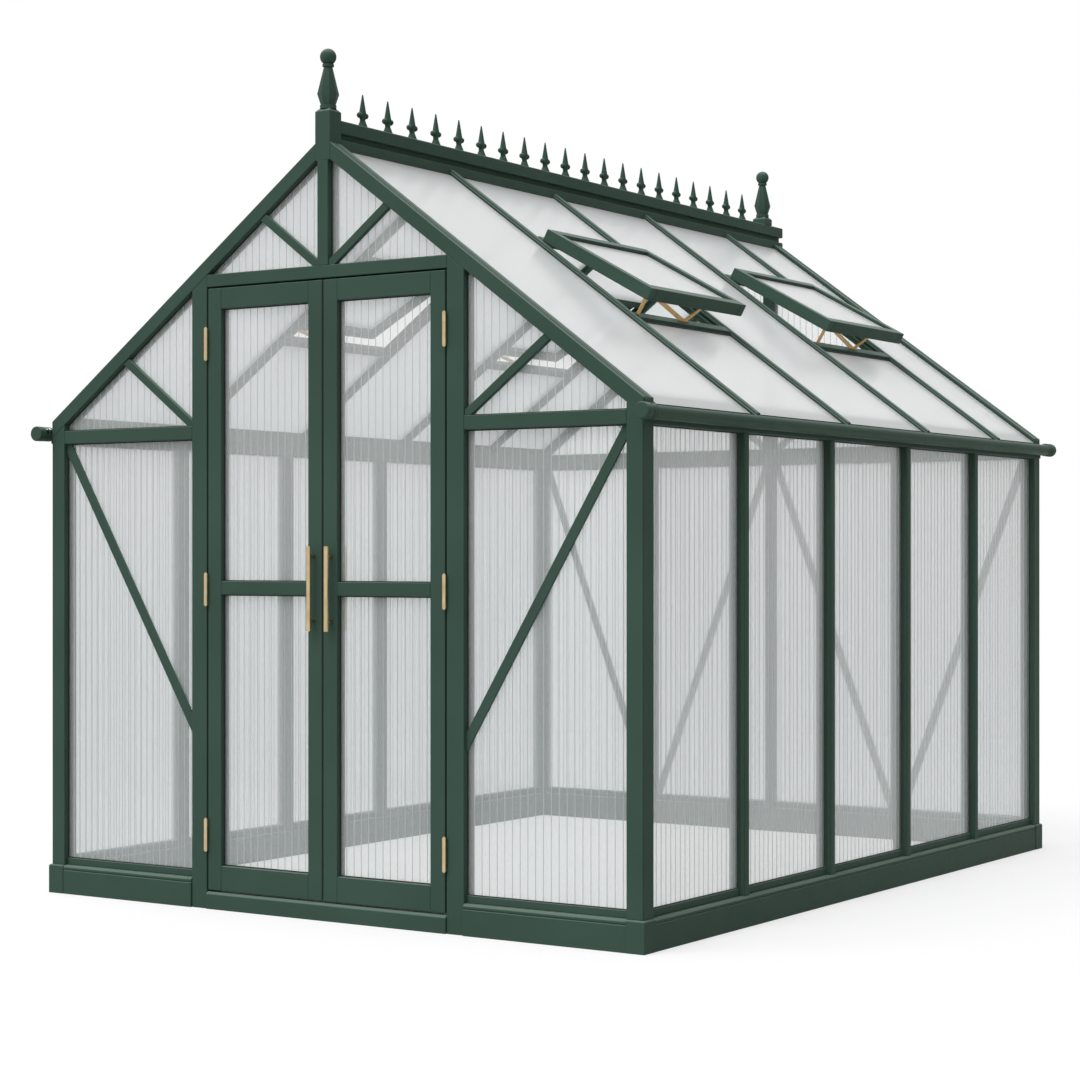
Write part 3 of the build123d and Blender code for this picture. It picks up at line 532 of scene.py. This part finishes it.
# Twin-wall sheets with their seals.
def solids_of(node):
    """Corner points of each solid of a node."""
    mesh = bmesh.new()
    mesh.from_mesh(nodes[node].data)
    bmesh.ops.remove_doubles(mesh, verts=mesh.verts, dist=WELD)
    seen = set()
    solids = []
    for first in mesh.verts:
        if first in seen:
            continue
        seen.add(first)
        found = [first]
        for vert in found:
            for edge in vert.link_edges:
                other = edge.other_vert(vert)
                if other not in seen:
                    seen.add(other)
                    found.append(other)
        solids.append([vert.co.copy() for vert in found])
    mesh.free()
    return solids


class Sheet:
    """Axes, outline and levels of one flat solid."""

    def __init__(self, points):
        middle = sum(points, Vector()) / len(points)
        spread = np.array([point - middle for point in points])
        normal = Vector(np.linalg.svd(spread)[2][-1]).normalized()
        if normal.dot(middle - SHED_CENTRE) < 0:
            normal.negate()
        along = (UP - normal * normal.z).normalized()
        across = along.cross(normal)
        self.axes = (across, along, normal)
        levels = [point.dot(normal) for point in points]
        self.low, self.high = min(levels), max(levels)
        flat = sorted({(round(p.dot(across), 5), round(p.dot(along), 5)) for p in points})
        self.outline = [Vector(flat[i]) for i in convex_hull_2d(flat)]

    def covers(self, node):
        """How far the frame laps over each side: more at a glazing bar than at a post."""
        if node in OPEN_SHEETS:
            return [0] * len(self.outline)
        covers = []
        for start, end in zip(self.outline, self.outline[1:] + self.outline[:1]):
            upright = abs(end.x - start.x) < WELD
            at_bar = node in BAR_LIMITS and abs(start.x) < BAR_LIMITS[node]
            front = node == "end_wall_panels" and self.axes[2].y < 0
            bar_cover = ROOF_BAR_COVER if node == "roof_panels" else BAR_COVER
            covers.append(bar_cover if upright and at_bar and not front else SHEET_BITE)
        return covers


def add_sheet(mesh, sheet):
    """One sheet: a slab of clear skin with a row of rib roots under its outer face."""
    add_prism(mesh, sheet.axes, sheet.outline, sheet.low, sheet.high)
    inside = inset(sheet.outline, [SHEET_RIM] * len(sheet.outline))
    first = min(point.x for point in inside)
    width = max(point.x for point in inside) - first
    count = max(1, round(width / RIB_PITCH))
    top = sheet.high - SKIN
    for i in range(1, count):
        middle = first + width * i / count
        left = Vector((middle - RIB_WIDTH / 2, 0))
        right = Vector((middle + RIB_WIDTH / 2, 0))
        plate = clip(clip(inside, left, Vector((1, 0))), right, Vector((-1, 0)))
        if len(plate) > 2:
            add_prism(mesh, sheet.axes, plate, top - RIB_DEPTH, top, index=1)


def add_bead(mesh, sheet, node):
    """Seal where the outer face of a sheet meets its frame."""
    covers = sheet.covers(node)
    outer = inset(sheet.outline, covers)
    inner = inset(sheet.outline, [cover + BEAD_WIDTH for cover in covers])
    if len(outer) == len(inner):
        add_frame(mesh, sheet.axes, outer, inner, sheet.high, sheet.high + BEAD_HEIGHT)


def add_sheets(node):
    """The sheets of a node, in place of its plain slabs, and the beads round them."""
    sheets = bmesh.new()
    beads = bmesh.new()
    for points in solids_of(node):
        sheet = Sheet(points)
        add_sheet(sheets, sheet)
        add_bead(beads, sheet, node)
    skin = roof_lit_skin if node in ROOF_SHEETS else wall_shaded_skin
    body = body_of_node(node)
    name = node.replace("panels", "twin_wall_sheets")
    made = add_piece(name, sheets, (skin, rib), body)
    made.visible_shadow = False
    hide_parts(node)
    add_piece(node.replace("panels", "sheet_seals"), beads, (rubber,), body)


for node in sorted(SLOTS):
    if SLOTS[node] == "sheet":
        add_sheets(node)


# Meeting seals of the doors.
def add_meeting_seal(body, sign):
    """Blade that nearly closes the gap between the leaves."""
    low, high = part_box(body + "_stiles")
    edge = min(abs(low.x), abs(high.x))
    front = low.y + BLADE_SETBACK
    outline = [
        Vector((sign * (edge + BLADE_ROOT), front)),
        Vector((sign * (edge + BLADE_ROOT), front + BLADE_DEPTH)),
        Vector((sign * edge, front + BLADE_DEPTH)),
        Vector((sign * (edge - BLADE_REACH), front + BLADE_DEPTH / 2)),
        Vector((sign * edge, front)),
    ]
    blade = bmesh.new()
    axes = (RIGHTWARD, REARWARD, UP)
    add_prism(blade, axes, outline if sign < 0 else outline[::-1], low.z, high.z)
    bmesh.ops.recalc_face_normals(blade, faces=blade.faces)
    add_piece(body + "_meeting_seal", blade, (rubber,), body)


for body, sign in zip(DOORS, (-1, 1)):
    add_meeting_seal(body, sign)


# Gutter ends.
def ring_profile(inner, outer, start, length):
    """Section of a ring with rounded shoulders."""
    shoulder = min(length, outer - inner) / 3
    return [
        (inner, start),
        (outer - shoulder, start),
        (outer, start + shoulder),
        (outer, start + length - shoulder),
        (outer - shoulder, start + length),
        (inner, start + length),
    ]


def add_gutter_ends():
    """A socket on each cap, round the gutter, with two bands beyond it."""
    sockets = bmesh.new()
    bands = bmesh.new()
    for solid in solids_of("gutter_end_caps"):
        low = Vector([min(point[i] for point in solid) for i in range(3)])
        high = Vector([max(point[i] for point in solid) for i in range(3)])
        radius = (high.z - low.z) / 2
        gutter = radius - CAP_RISE
        inward = REARWARD if low.y < 0 else -REARWARD
        face = high.y if low.y < 0 else low.y
        middle = Vector(((low.x + high.x) / 2, face, (low.z + high.z) / 2))
        add_lathe(sockets, ring_profile(gutter, radius, 0, SOCKET_LENGTH), middle, inward)
        for gap in BAND_GAPS:
            profile = ring_profile(gutter, gutter + BAND_RISE, gap, BAND_WIDTH)
            add_lathe(bands, profile, middle, inward)
    for name, mesh in (("gutter_sockets", sockets), ("gutter_bands", bands)):
        bmesh.ops.recalc_face_normals(mesh, faces=mesh.faces)
        add_piece(name, mesh, (paint,), MAIN_BODY)


add_gutter_ends()


# Floor, light and camera.
def add_floor():
    mesh = bmesh.new()
    bmesh.ops.create_grid(
        mesh, x_segments=FLOOR_STEPS, y_segments=FLOOR_STEPS, size=FLOOR_SIZE / 2
    )
    floor = add_object("studio_floor", mesh, (floor_finish(),))


def add_sky(scene):
    """Sky that looks white and lights the building more from one side."""
    world = bpy.data.worlds.new("studio_sky")
    scene.world = world
    world.use_nodes = True
    tree = world.node_tree
    tree.nodes.clear()
    seen = tree.nodes.new("ShaderNodeBackground")
    light = tree.nodes.new("ShaderNodeBackground")
    for background in (seen, light):
        background.inputs["Color"].default_value = (*WHITE, 1)
    direction = tree.nodes.new("ShaderNodeTexCoord")
    toward = tree.nodes.new("ShaderNodeVectorMath")
    toward.operation = "DOT_PRODUCT"
    toward.inputs[1].default_value = Vector(SKY_BRIGHT_SIDE).normalized()
    tree.links.new(direction.outputs["Generated"], toward.inputs[0])
    level = map_range(tree, toward.outputs["Value"], SKY_SPAN, SKY_LEVELS)
    tree.links.new(level, light.inputs["Strength"])
    mixed = tree.nodes.new("ShaderNodeMixShader")
    tree.links.new(direct_sight(tree), mixed.inputs["Fac"])
    tree.links.new(light.outputs["Background"], mixed.inputs[1])
    tree.links.new(seen.outputs["Background"], mixed.inputs[2])
    output = tree.nodes.new("ShaderNodeOutputWorld")
    tree.links.new(mixed.outputs["Shader"], output.inputs["Surface"])


def add_sun(scene):
    """Soft sun that the gloss of the sheets doesn't show."""
    data = bpy.data.lights.new("soft_sun", "SUN")
    data.energy = SUN_LEVEL
    data.angle = math.radians(SUN_SPREAD)
    sun = bpy.data.objects.new("soft_sun", data)
    sun.rotation_euler = Vector(SUN_FROM).to_track_quat("Z", "Y").to_euler()
    sun.visible_glossy = False
    scene.collection.objects.link(sun)


def add_camera(scene):
    data = bpy.data.cameras.new("camera")
    data.lens = CAMERA_LENS
    data.shift_x, data.shift_y = CAMERA_SHIFT
    data.clip_end = CAMERA_FAR_CLIP
    camera = bpy.data.objects.new("camera", data)
    camera.location = CAMERA_PLACE
    camera.rotation_euler = (math.pi / 2, 0, math.radians(CAMERA_YAW))
    scene.collection.objects.link(camera)
    scene.camera = camera


scene = bpy.context.scene
add_floor()
add_sky(scene)
add_sun(scene)
add_camera(scene)
scene.view_settings.view_transform = "Standard"
scene.cycles.transparent_max_bounces = CLEAR_BOUNCES
scene.cycles.max_bounces = LIGHT_BOUNCES
